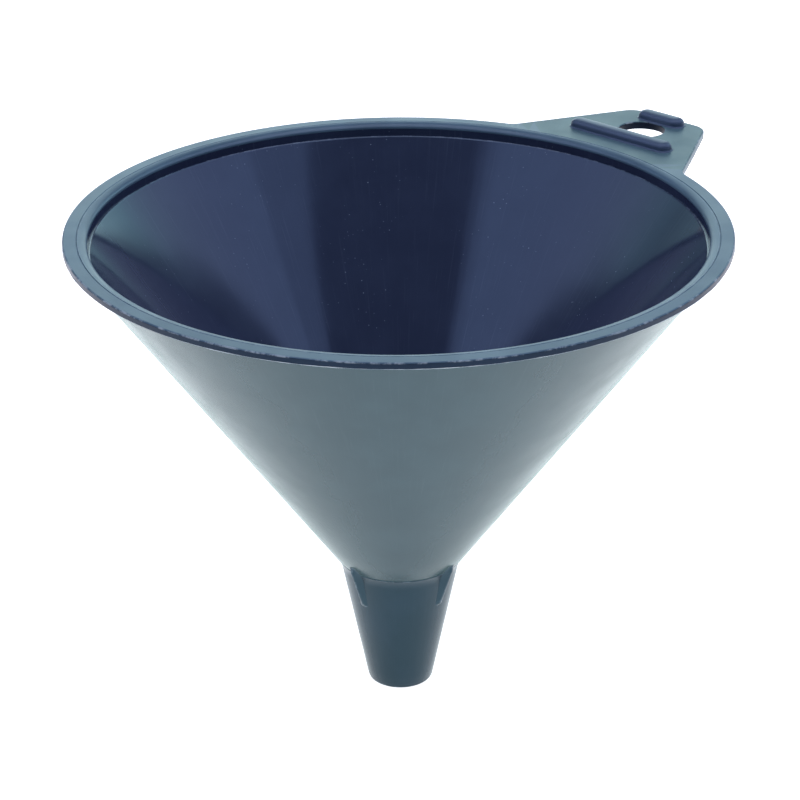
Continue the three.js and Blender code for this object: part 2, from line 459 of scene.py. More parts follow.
@dataclass(frozen=True)
class Sizes:
    """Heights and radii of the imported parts, in metres."""

    rim_height: float
    rim_radius: float
    flange_underside: float
    flange_inner: float
    ledge_height: float
    ledge_radius: float
    ledge_lip_radius: float
    ledge_outer: float
    bowl_top_radius: float
    crease_height: float
    throat_radius: float
    bowl_bottom_radius: float
    spout_length: float
    spout_bore_top: float
    spout_top_radius: float
    spout_bore_tip: float
    spout_tip_radius: float
    tab_underside: float
    tab_end: float

    @staticmethod
    def ring(node: str, height: float) -> tuple[float, float]:
        """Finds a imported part's least and greatest radius at one height.

        Args:
            node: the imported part's name.
            height: the height in metres.

        Returns:
            The least and the greatest radius.
        """
        corners = [v.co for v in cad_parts[node].data.vertices]
        radii = [c.xy.length for c in corners if abs(c.z - height) < 0.02 * MM]
        return min(radii), max(radii)

    @classmethod
    def read(cls) -> "Sizes":
        """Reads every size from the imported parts.

        Returns:
            The sizes.
        """
        flange_low, flange_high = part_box("rim_flange")
        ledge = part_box("rim_collar")[0].z
        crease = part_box("bowl")[0].z
        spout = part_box("spout")[1].z
        flange = cls.ring("rim_flange", flange_high.z)
        shelf = cls.ring("rim_collar", ledge)
        throat, bottom = cls.ring("bowl", crease)
        bore_top, spout_top = cls.ring("spout", spout)
        bore_tip, tip = cls.ring("spout", 0.0)
        tab_low, tab_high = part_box("hang_tab")
        return cls(flange_high.z, flange[1], flange_low.z, flange[0], ledge,
                   cls.ring("bowl", ledge)[0], shelf[0], shelf[1],
                   cls.ring("rim_collar", flange_low.z)[1], crease, throat, bottom, spout,
                   bore_top, spout_top, bore_tip, tip, tab_low.z, tab_high.x)


def link_mesh(name: str, points: list, faces: list) -> bpy.types.Object:
    """Makes an object from points and faces and puts it in the scene.

    Args:
        name: the piece's name.
        points: the corner positions.
        faces: the corner numbers of each face.

    Returns:
        The new object.
    """
    mesh = bpy.data.meshes.new(name)
    mesh.from_pydata([tuple(p) for p in points], [], faces)
    piece = bpy.data.objects.new(name, mesh)
    bpy.context.scene.collection.objects.link(piece)
    return piece


def tidy_mesh(piece: bpy.types.Object, sharp_degrees: float = 30.0) -> None:
    """Merges doubles, turns faces outwards and smooths all but the sharp edges.

    Args:
        piece: the object whose mesh is tidied.
        sharp_degrees: edges that turn more than this stay sharp.
    """
    solid = bmesh.new()
    solid.from_mesh(piece.data)
    bmesh.ops.remove_doubles(solid, verts=solid.verts, dist=0.001 * MM)
    bmesh.ops.dissolve_degenerate(solid, edges=solid.edges, dist=0.0005 * MM)
    bmesh.ops.recalc_face_normals(solid, faces=solid.faces)
    for face in solid.faces:
        face.smooth = True
    for edge in solid.edges:
        edge.smooth = edge.calc_face_angle(math.pi) < math.radians(sharp_degrees)
    solid.to_mesh(piece.data)
    solid.free()


def run_tree(piece: bpy.types.Object, tree: bpy.types.NodeTree, inputs: dict) -> None:
    """Runs a Geometry Nodes tree on a piece and keeps the result as a plain mesh.

    Args:
        piece: the object that carries the tree's input.
        tree: the Geometry Nodes tree.
        inputs: a value for each named input of the tree.
    """
    modifier = piece.modifiers.new(tree.name, "NODES")
    modifier.node_group = tree
    for item in tree.interface.items_tree:
        if item.item_type == "SOCKET" and item.in_out == "INPUT" and item.name in inputs:
            modifier[item.identifier] = inputs[item.name]
    graph = bpy.context.evaluated_depsgraph_get()
    mesh = bpy.data.meshes.new_from_object(piece.evaluated_get(graph))
    piece.modifiers.clear()
    piece.data = mesh
    mesh.name = piece.name
    used = [material for material in mesh.materials if material]
    mesh.materials.clear()
    for material in used:
        mesh.materials.append(material)
    for face in mesh.polygons:
        face.material_index = 0


def weigh_shading(piece: bpy.types.Object) -> None:
    """Keeps the flats flat in the light, beside their rounded edges.

    Args:
        piece: the object whose corner normals are set.
    """
    modifier = piece.modifiers.new("weighted_shading", "WEIGHTED_NORMAL")
    modifier.mode = "FACE_AREA"
    modifier.weight = 100
    modifier.keep_sharp = True
    graph = bpy.context.evaluated_depsgraph_get()
    mesh = bpy.data.meshes.new_from_object(piece.evaluated_get(graph))
    piece.modifiers.clear()
    piece.data = mesh


def new_tree(name: str, sockets: dict[str, str]) -> bpy.types.NodeTree:
    """Starts a Geometry Nodes tree with a geometry input, named inputs and a geometry output.

    Args:
        name: the tree's name.
        sockets: the socket type of each named input.

    Returns:
        The tree.
    """
    tree = bpy.data.node_groups.new(name, "GeometryNodeTree")
    tree.interface.new_socket("Geometry", in_out="INPUT", socket_type="NodeSocketGeometry")
    for label, kind in sockets.items():
        tree.interface.new_socket(label, in_out="INPUT", socket_type=kind)
    tree.interface.new_socket("Geometry", in_out="OUTPUT", socket_type="NodeSocketGeometry")
    return tree


def end_tree(tree: bpy.types.NodeTree, geometry: bpy.types.NodeSocket,
             material: bpy.types.NodeSocket) -> None:
    """Ends a tree in Realize Instances and Set Material.

    Args:
        tree: the Geometry Nodes tree.
        geometry: the finished geometry's socket.
        material: the material's socket.
    """
    real = add_node(tree, "GeometryNodeRealizeInstances", {"Geometry": geometry}).outputs[0]
    dressed = add_node(tree, "GeometryNodeSetMaterial", {"Geometry": real, "Material": material})
    add_node(tree, "NodeGroupOutput", {0: dressed.outputs[0]})


def paint_wear_and_highlight(piece: bpy.types.Object, rings: list[tuple[float, float]], width: float,
               weight: float = 1.0) -> None:
    """Marks edges for the pale mix, as a mask on the piece's points: edges that rub, and edges where
    a highlight is painted.

    Args:
        piece: the object.
        rings: the (radius, height) of each marked edge circle.
        width: how far the mark reaches from the edge.
        weight: the strongest value of the mask.
    """
    layer = piece.data.attributes.new(WEAR_AND_HIGHLIGHT, "FLOAT", "POINT")
    for vertex, value in zip(piece.data.vertices, layer.data):
        spot = Vector((vertex.co.xy.length, vertex.co.z))
        near = min(((spot - Vector(ring)).length for ring in rings), default=width)
        value.value = weight * max(0.0, 1.0 - near / width)


def register(piece: bpy.types.Object, *nodes: str) -> None:
    """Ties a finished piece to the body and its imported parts.

    Args:
        piece: the finished object.
        *nodes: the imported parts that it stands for.
    """
    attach(piece, "root")
    if nodes:
        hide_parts(*nodes)
    LOG.info("%s: %d faces, stands for %s", piece.name, len(piece.data.polygons), nodes or "itself")


# Turned pieces


@dataclass(frozen=True)
class Turner:
    """Turns a closed outline about the funnel's axis with a Geometry Nodes tree."""

    segments: int = 288

    def tree(self) -> bpy.types.NodeTree:
        """Builds the tree: a grid whose rows take their radius and height from the outline.

        Returns:
            The tree.
        """
        tree = new_tree("turned_solid", {"Turn Segments": "NodeSocketInt",
                                         "Outline Points": "NodeSocketInt",
                                         "Material": "NodeSocketMaterial"})
        given = add_node(tree, "NodeGroupInput").outputs
        columns = maths(tree, "ADD", given["Turn Segments"], 1.0)
        grid = add_node(tree, "GeometryNodeMeshGrid", {
            "Vertices X": columns, "Vertices Y": given["Outline Points"]}).outputs[0]
        index = add_node(tree, "GeometryNodeInputIndex").outputs[0]
        column = maths(tree, "FLOOR", maths(tree, "DIVIDE", index, given["Outline Points"]))
        row = maths(tree, "MODULO", index, given["Outline Points"])
        turn = maths(tree, "MULTIPLY", column, math.tau)
        angle = maths(tree, "DIVIDE", turn, given["Turn Segments"])
        place = add_node(tree, "GeometryNodeInputPosition").outputs[0]
        sample = tree.nodes.new("GeometryNodeSampleIndex")
        sample.data_type, sample.domain = "FLOAT_VECTOR", "POINT"
        tree.links.new(given["Geometry"], sample.inputs["Geometry"])
        tree.links.new(place, next(s for s in sample.inputs if s.name == "Value" and s.enabled))
        tree.links.new(row, sample.inputs["Index"])
        value = next(s for s in sample.outputs if s.enabled)
        point = add_node(tree, "ShaderNodeSeparateXYZ", {0: value}).outputs
        spun = add_node(tree, "ShaderNodeCombineXYZ", {
            "X": maths(tree, "MULTIPLY", point["X"], maths(tree, "COSINE", angle)),
            "Y": maths(tree, "MULTIPLY", point["X"], maths(tree, "SINE", angle)),
            "Z": point["Z"]}).outputs[0]
        moved = add_node(tree, "GeometryNodeSetPosition", {"Geometry": grid, "Position": spun})
        merged = add_node(tree, "GeometryNodeMergeByDistance", {
            "Geometry": moved.outputs[0], "Distance": 0.001 * MM})
        end_tree(tree, merged.outputs[0], given["Material"])
        return tree

    def turn(self, name: str, outline: list[tuple[float, float]],
             material: bpy.types.Material) -> bpy.types.Object:
        """Turns one outline into a closed piece.

        Args:
            name: the piece's name.
            outline: (radius, height) points in order, not repeated at the end.
            material: the piece's material.

        Returns:
            The piece.
        """
        points = [(r, 0.0, z) for r, z in [*outline, outline[0]]]
        piece = link_mesh(name, points, [])
        tree = bpy.data.node_groups.get("turned_solid") or self.tree()
        run_tree(piece, tree, {"Turn Segments": self.segments, "Outline Points": len(points),
                               "Material": material})
        tidy_mesh(piece)
        return piece


def arc(centre: tuple[float, float], radius_x: float, radius_z: float, start: float,
        end: float, steps: int) -> list[tuple[float, float]]:
    """Points along an arc of an ellipse.

    Args:
        centre: the arc's centre.
        radius_x: the half axis across.
        radius_z: the half axis up.
        start: the first angle in degrees.
        end: the last angle in degrees.
        steps: the number of steps.

    Returns:
        The points, both ends included.
    """
    angles = [math.radians(start + (end - start) * i / steps) for i in range(steps + 1)]
    return [(centre[0] + radius_x * math.cos(a), centre[1] + radius_z * math.sin(a))
            for a in angles]


def between(first: tuple[float, float], last: tuple[float, float],
            steps: int) -> list[tuple[float, float]]:
    """Evenly spaced points from one point to another, without the two ends."""
    return [(first[0] + (last[0] - first[0]) * i / steps, first[1] + (last[1] - first[1]) * i / steps)
            for i in range(1, steps)]


@dataclass
class Bowl:
    """The conical wall of the bowl, dull outside and polished inside."""

    sizes: Sizes
    turner: Turner
    bottom_round: float = 0.25 * MM
    ledge_round: float = 0.12 * MM
    highlight_width: float = 0.3 * MM
    wear_and_highlight_weight: float = 0.35
    polish_reach: float = 0.5 * MM

    def build(self) -> bpy.types.Object:
        """Makes the wall.

        Returns:
            The piece.
        """
        s = self.sizes
        outer_low = (s.bowl_bottom_radius, s.crease_height)
        outer_top = (s.ledge_outer, s.ledge_height)
        inner_low = (s.throat_radius, s.crease_height)
        slope = (s.ledge_outer - s.bowl_bottom_radius) / (s.ledge_height - s.crease_height)
        start = (outer_low[0] + slope * self.bottom_round, outer_low[1] + self.bottom_round)
        lip = (s.ledge_radius + self.ledge_round, s.ledge_height)
        turned_in = (s.ledge_radius - slope * self.ledge_round, s.ledge_height - self.ledge_round)
        below = (s.ledge_radius - slope * self.highlight_width, s.ledge_height - self.highlight_width)
        outline = [inner_low, (outer_low[0] - 0.6 * self.bottom_round, outer_low[1]),
                   (outer_low[0] + 0.1 * self.bottom_round, outer_low[1] + 0.3 * self.bottom_round),
                   start, *between(start, outer_top, 12), outer_top,
                   (s.ledge_lip_radius, s.ledge_height), lip, turned_in, below,
                   *between(below, inner_low, 12)]
        piece = self.turner.turn("bowl_wall", outline, OUTSIDE.build())
        add_finishes(piece, INSIDE)
        # The inner finish's bluer base colour paints the shade inside the bowl.
        for face in piece.data.polygons:
            inward = face.normal.xy.dot(face.center.xy) < 0
            polished = inward or face.center.z > s.ledge_height - self.polish_reach
            face.material_index = WallFace.INNER if polished else WallFace.OUTER
        # Paints a pale highlight line along the ledge at the foot of the collar.
        paint_wear_and_highlight(piece, [lip], self.highlight_width, self.wear_and_highlight_weight)
        register(piece, "bowl")
        return piece


@dataclass
class RimCollar:
    """The rounded inner lip, the steep wall below it and the little ledge at its foot."""

    sizes: Sizes
    turner: Turner
    round_width: float = 2.35 * MM
    round_drop: float = 1.3 * MM
    seam: float = 0.14 * MM
    highlight_width: float = 0.3 * MM
    wear_and_highlight_weight: float = 0.5

    def build(self) -> bpy.types.Object:
        """Makes the collar.

        Returns:
            The piece.
        """
        s = self.sizes
        centre = (s.flange_inner, s.rim_height - self.round_drop)
        rounding = arc(centre, self.round_width, self.round_drop, 180, 96, 18)
        seam_top = (s.flange_inner - self.seam, s.rim_height)
        seam_bottom = (s.flange_inner, s.rim_height - self.seam)
        outline = [(s.ledge_lip_radius, s.ledge_height), (s.ledge_outer, s.ledge_height),
                   (s.bowl_top_radius, s.flange_underside), (s.flange_inner, s.flange_underside),
                   seam_bottom, seam_top, *reversed(rounding[:-1]),
                   *between(rounding[0], (s.ledge_lip_radius, s.ledge_height), 4)]
        # The collar's top takes the rim's lighter finish, which paints light on it.
        piece = self.turner.turn("rim_lip", outline, RIM.build())
        add_finishes(piece, OUTSIDE, INSIDE)
        for face in piece.data.polygons:
            if face.normal.z < 0 and face.normal.xy.dot(face.center.xy) > 0:
                face.material_index = LipFace.OUTER
            elif face.center.z < centre[1]:
                face.material_index = LipFace.INNER
        # Paints a pale highlight along the inner edge of the rim's top.
        paint_wear_and_highlight(piece, [seam_top], self.highlight_width, self.wear_and_highlight_weight)
        register(piece, "rim_collar")
        return piece


@dataclass
class Spout:
    """The tapered spout and the short shoulder that joins it to the bowl."""

    sizes: Sizes
    turner: Turner
    tip_round: float = 0.35 * MM
    tip_band: float = 0.6 * MM
    tip_wear_width: float = 0.5 * MM
    crease_depth: float = 0.22 * MM
    crease_height: float = 0.3 * MM
    crease_wear_width: float = 0.3 * MM
    crease_wear_weight: float = 0.3

    def shoulder_radius(self, height: float) -> float:
        """Radius of the shoulder, which leaves the spout smoothly and flares to the bowl.

        Args:
            height: the height in metres.

        Returns:
            The radius in metres.
        """
        s = self.sizes
        rise = height - s.spout_length
        whole = s.crease_height - s.spout_length
        taper = (s.spout_top_radius - s.spout_tip_radius) / s.spout_length
        flare = (s.bowl_bottom_radius - s.spout_top_radius - taper * whole) / whole ** 2
        return s.spout_top_radius + taper * rise + flare * rise * rise

    def build_shoulder(self) -> bpy.types.Object:
        """Makes the shoulder, with the fine crease under the bowl.

        Returns:
            The piece.
        """
        s = self.sizes
        top = s.crease_height
        brim = top - self.crease_height
        heights = [s.spout_length + (brim - s.spout_length) * i / 10 for i in range(11)]
        outer = [(self.shoulder_radius(h), h) for h in heights]
        groove = s.bowl_bottom_radius - self.crease_depth
        outline = [(s.spout_bore_top, s.spout_length), *outer,
                   (groove, brim + 0.3 * self.crease_height), (groove, top),
                   (s.throat_radius, top)]
        piece = self.turner.turn("spout_shoulder_band", outline, SPOUT.build())
        self._polish_bore(piece)
        paint_wear_and_highlight(piece, [outer[-1]], self.crease_wear_width, self.crease_wear_weight)
        register(piece, "spout_shoulder")
        return piece

    def build_tube(self) -> bpy.types.Object:
        """Makes the tapered tube with its rounded tip.

        Returns:
            The piece.
        """
        s = self.sizes
        r = self.tip_round
        outer_tip = arc((s.spout_tip_radius - r, r), r, r, -90, -8, 6)
        inner_tip = arc((s.spout_bore_tip + r, r), r, r, -172, -90, 6)
        top = (s.spout_top_radius, s.spout_length)
        bore_top = (s.spout_bore_top, s.spout_length)
        taper = (s.spout_top_radius - s.spout_tip_radius) / s.spout_length
        above = (s.spout_tip_radius + taper * self.tip_band, self.tip_band)
        outline = [*inner_tip, *outer_tip, above, *between(above, top, 10), top, bore_top,
                   *between(bore_top, inner_tip[0], 10)]
        piece = self.turner.turn("spout_tube", outline, SPOUT.build())
        self._polish_bore(piece)
        paint_wear_and_highlight(piece, [(s.spout_tip_radius, 0.0)], self.tip_wear_width)
        register(piece, "spout")
        return piece

    @staticmethod
    def _polish_bore(piece: bpy.types.Object) -> None:
        """Gives the faces that look at the axis the polished finish, whose bluer base colour paints
        shade.

        Args:
            piece: the piece to finish.
        """
        add_finishes(piece, INSIDE)
        for face in piece.data.polygons:
            if face.normal.xy.dot(face.center.xy) < 0:
                face.material_index = WallFace.INNER


# The rim's plate


@dataclass
class RimPlate:
    """The flat ring round the rim and the hanging tab, which are one flush plate."""

    sizes: Sizes
    tab_end_width: float = 22.6 * MM
    tab_root_width: float = 53.4 * MM
    corner_radius: float = 5.0 * MM
    root_fillet: float = 5.0 * MM
    hole_radius: float = 5.8 * MM
    hole_offset: float = 13.7 * MM
    edge_round: float = 0.35 * MM
    seam: float = 0.14 * MM
    ring_steps: int = 288
    hole_steps: int = 96
    hole_margin: float = 0.1 * MM
    tab_margin: float = 0.2 * MM
    crisp_degrees: float = 40.0
    wear_from: float = 0.01 * MM
    wear_to: float = 0.3 * MM
    wear_and_highlight_weight: float = 0.8

    def outline(self) -> list[tuple[Vector, Vector]]:
        """Walks round the plate's edge.

        Returns:
            A (point, outward direction) pair for each step, anticlockwise from the tab's middle.
        """
        s = self.sizes
        half_root = self.tab_root_width / 2
        corner = Vector((s.tab_end, self.tab_end_width / 2))
        root = Vector((math.sqrt(s.rim_radius ** 2 - half_root ** 2), half_root))
        side = (corner - root).normalized()
        normal = Vector((-side.y, side.x))
        base = root + normal * self.root_fillet
        reach = s.rim_radius + self.root_fillet
        along = base.dot(side)
        travel = -along + math.sqrt(along * along - base.length_squared + reach * reach)
        fillet = base + side * travel
        tilt = math.atan2(normal.y, normal.x)
        inset = self.corner_radius * math.tan(tilt / 2)
        bend = corner - side * inset - normal * self.corner_radius
        rim_angle = math.atan2(fillet.y, fillet.x)

        half: list[tuple[Vector, Vector]] = []
        for i in range(7):
            half.append((Vector((s.tab_end, bend.y * i / 6)), Vector((1.0, 0.0))))
        for i in range(1, 17):
            half.append(self._on_arc(bend, self.corner_radius, tilt * i / 16, 1.0))
        start = half[-1][0]
        stop = fillet - normal * self.root_fillet
        for i in range(1, 8):
            half.append((start.lerp(stop, i / 8), normal))
        first, last = tilt + math.pi, rim_angle + math.pi
        for i in range(17):
            half.append(self._on_arc(fillet, self.root_fillet, first + (last - first) * i / 16, -1.0))
        steps = round(self.ring_steps * (math.pi - rim_angle) / math.tau)
        for i in range(1, steps + 1):
            angle = rim_angle + (math.pi - rim_angle) * i / steps
            half.append(self._on_arc(Vector((0.0, 0.0)), s.rim_radius, angle, 1.0))
        mirrored = [(Vector((p.x, -p.y)), Vector((n.x, -n.y))) for p, n in half[1:-1]]
        return [*half, *reversed(mirrored)]

    @staticmethod
    def _on_arc(centre: Vector, radius: float, angle: float, out: float) -> tuple[Vector, Vector]:
        """A point on an arc and its outward direction, which is inward on a hollow fillet."""
        direction = Vector((math.cos(angle), math.sin(angle)))
        return centre + direction * radius, direction * out

    def underside(self, x: float) -> float:
        """Height of the plate's underside, a little lower under the tab.

        Args:
            x: the distance towards the tab.

        Returns:
            The height in metres.
        """
        s = self.sizes
        share = min(1.0, max(0.0, (x - s.rim_radius + 4 * MM) / (6 * MM)))
        blend = share * share * (3 - 2 * share)
        return s.flange_underside + (s.tab_underside - s.flange_underside) * blend

    def build(self) -> bpy.types.Object:
        """Makes the plate as one closed solid with rounded edges and the hanging hole.

        Returns:
            The piece.
        """
        s = self.sizes
        edge = self.outline()
        r = self.edge_round
        profile = [(r * (1 - math.sin(math.radians(a))), -r * (1 - math.cos(math.radians(a))))
                   for a in range(0, 91, 15)]
        hole_centre = Vector((s.rim_radius + self.hole_offset, 0.0))
        hole = [self._on_arc(hole_centre, self.hole_radius, math.tau * i / self.hole_steps, -1.0)
                for i in range(self.hole_steps)]
        axis = Vector((0.0, 0.0))
        inner = [self._on_arc(axis, s.flange_inner, math.tau * i / self.ring_steps, -1.0)
                 for i in range(self.ring_steps)]
        seam = [(self.seam, 0.0), (0.0, -self.seam)]
        points: list[tuple[float, float, float]] = []
        faces: list[list[int]] = []
        tops, bottoms = [], []
        for loop, cut in ((edge, profile), (hole, profile), (inner, seam)):
            top, bottom = self._wall(loop, cut, points, faces)
            tops.append(top)
            bottoms.append(bottom)
        self._fill(tops, points, faces)
        self._fill(bottoms, points, faces)
        piece = link_mesh("rim_plate_with_tab", points, faces)
        tidy_mesh(piece, self.crisp_degrees)
        weigh_shading(piece)
        add_finishes(piece, RIM, TAB, EDGE, BORE)
        # The rim and tab finishes paint light on the top; the edge and hole finishes paint shade on
        # the upright outer face and the hole's wall.
        for face in piece.data.polygons:
            spot, upright = face.center, abs(face.normal.z) < 0.5
            if (spot.xy - hole_centre).length < self.hole_radius + self.hole_margin and upright:
                face.material_index = PlateFace.HOLE
            elif spot.x > 0 and spot.xy.length > s.rim_radius - self.tab_margin and (
                    abs(spot.y) < self.tab_root_width / 2 + self.root_fillet):
                face.material_index = PlateFace.TAB
            elif upright and spot.xy.length > s.rim_radius - self.edge_round:
                face.material_index = PlateFace.EDGE
        self._paint(piece)
        register(piece, "rim_flange", "hang_tab")
        return piece

    def _wall(self, loop: list, cut: list, points: list, faces: list) -> tuple[list, list]:
        """Adds the wall of one edge loop.

        Args:
            loop: the loop's (point, outward direction) pairs.
            cut: the edge's (inset, drop) pairs, from the flat to the side.
            points: the plate's corners, which the wall's are added to.
            faces: the plate's faces, which the wall's are added to.

        Returns:
            The corner numbers of the wall's top and of its bottom.
        """
        rings = []
        heights = [(inset, self.sizes.rim_height + drop, False) for inset, drop in cut]
        heights += [(inset, -drop, True) for inset, drop in reversed(cut)]
        for inset, height, under in heights:
            first = len(points)
            for point, out in loop:
                spot = point - out * inset
                level = self.underside(point.x) + height if under else height
                points.append((spot.x, spot.y, level))
            rings.append(range(first, first + len(loop)))
        for upper, lower in zip(rings, rings[1:]):
            for i in range(len(loop)):
                j = (i + 1) % len(loop)
                faces.append([upper[i], upper[j], lower[j], lower[i]])
        return list(rings[0]), list(rings[-1])

    @staticmethod
    def _fill(loops: list[list[int]], points: list, faces: list) -> None:
        """Fills the flat between the outer loop, the hole and the inner circle with triangles.

        Args:
            loops: the corner numbers of the three loops, the outer one first.
            points: the plate's corners.
            faces: the plate's faces, which the triangles are added to.
        """
        numbers = [n for loop in loops for n in loop]
        flat = [Vector(points[n][:2]) for n in numbers]
        edges, start = [], 0
        for loop in loops:
            edges += [(start + i, start + (i + 1) % len(loop)) for i in range(len(loop))]
            start += len(loop)
        _, _, triangles, *_ = delaunay_2d_cdt(flat, edges, [], 0, 1e-9)
        outer = [flat[i] for i in range(len(loops[0]))]
        holes = [[flat[i] for i in range(len(loops[0]), len(loops[0]) + len(loops[1]))],
                 [flat[i] for i in range(len(loops[0]) + len(loops[1]), len(flat))]]
        for triangle in triangles:
            middle = sum((flat[i] for i in triangle), Vector((0.0, 0.0))) / len(triangle)
            if inside(middle, outer) and not any(inside(middle, hole) for hole in holes):
                faces.append([numbers[i] for i in triangle])

    def _paint(self, piece: bpy.types.Object) -> None:
        """Marks the outer edges that get knocked.

        Args:
            piece: the plate.
        """
        s = self.sizes
        layer = piece.data.attributes.new(WEAR_AND_HIGHLIGHT, "FLOAT", "POINT")
        for vertex, value in zip(piece.data.vertices, layer.data):
            outer = vertex.co.xy.length > s.rim_radius - self.edge_round
            near_top = s.rim_height - vertex.co.z
            pale_wear_and_highlight = outer and self.wear_from < near_top < self.wear_to
            value.value = self.wear_and_highlight_weight if pale_wear_and_highlight else 0.0


def inside(point: Vector, loop: list[Vector]) -> bool:
    """Tells whether a point lies inside a closed loop.

    Args:
        point: the point.
        loop: the loop's corners.

    Returns:
        True inside.
    """
    within = False
    for i, a in enumerate(loop):
        b = loop[i - 1]
        if (a.y > point.y) != (b.y > point.y):
            if point.x < (b.x - a.x) * (point.y - a.y) / (b.y - a.y) + a.x:
                within = not within
    return within


# Ribs on the tab


@dataclass
class TabRib:
    """A round-ended raised rib on the tab, with a small root fillet and a rounded top."""

    name: str
    node: str
    sizes: Sizes
    root: float = 0.5 * MM
    crown: float = 1.3 * MM
    crown_share: float = 0.485
    crown_turns: range = range(10, 91, 8)
    sunk: float = 0.15 * MM
    crisp_degrees: float = 60.0
    crown_bulge: float = 0.8

    def build(self) -> bpy.types.Object:
        """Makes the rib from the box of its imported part.

        Returns:
            The piece.
        """
        low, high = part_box(self.node)
        width, length = high.x - low.x, high.y - low.y
        height = high.z - self.sizes.rim_height
        side = height - self.crown
        profile = [(-self.root, -self.sunk), *self._root_fillet(), (0.0, side)]
        for a in self.crown_turns:
            turn = math.radians(a)
            inset = self.crown_share * width * (1 - math.cos(turn) ** self.crown_bulge)
            profile.append((inset, side + self.crown * math.sin(turn)))
        rings, points, faces = [], [], []
        centre = Vector(((low.x + high.x) / 2, 0.0))
        for inset, level in profile:
            first = len(points)
            for x, y in self._stadium(width / 2 - inset, length / 2 - width / 2):
                points.append((centre.x + x, y, self.sizes.rim_height + level))
            rings.append(range(first, len(points)))
        count = len(rings[0])
        for lower, upper in zip(rings, rings[1:]):
            for i in range(count):
                j = (i + 1) % count
                faces.append([lower[i], lower[j], upper[j], upper[i]])
        faces += [list(rings[-1]), list(reversed(rings[0]))]
        piece = link_mesh(self.name, points, faces)
        tidy_mesh(piece, self.crisp_degrees)
        weigh_shading(piece)
        add_finishes(piece, TAB_RIB)
        register(piece, self.node)
        return piece

    def _root_fillet(self) -> list[tuple[float, float]]:
        """A quarter of a hollow round from the tab up to the rib's side.

        Returns:
            Its (inset, height) pairs.
        """
        root = self.root
        return [(-root + root * math.sin(math.radians(a)), root * (1 - math.cos(math.radians(a))))
                for a in (0, 22, 45, 68, 90)]

    @staticmethod
    def _stadium(radius: float, straight: float) -> list[tuple[float, float]]:
        """A round-ended loop.

        Args:
            radius: its half width.
            straight: half the length of its straight sides.

        Returns:
            Its (x, y) corners.
        """
        loop = []
        for end, start in ((1, 0), (-1, 180)):
            for i in range(25):
                a = math.radians(start + 180 * i / 24)
                loop.append((radius * math.cos(a), end * straight + radius * math.sin(a)))
        return loop


# Vent ribs


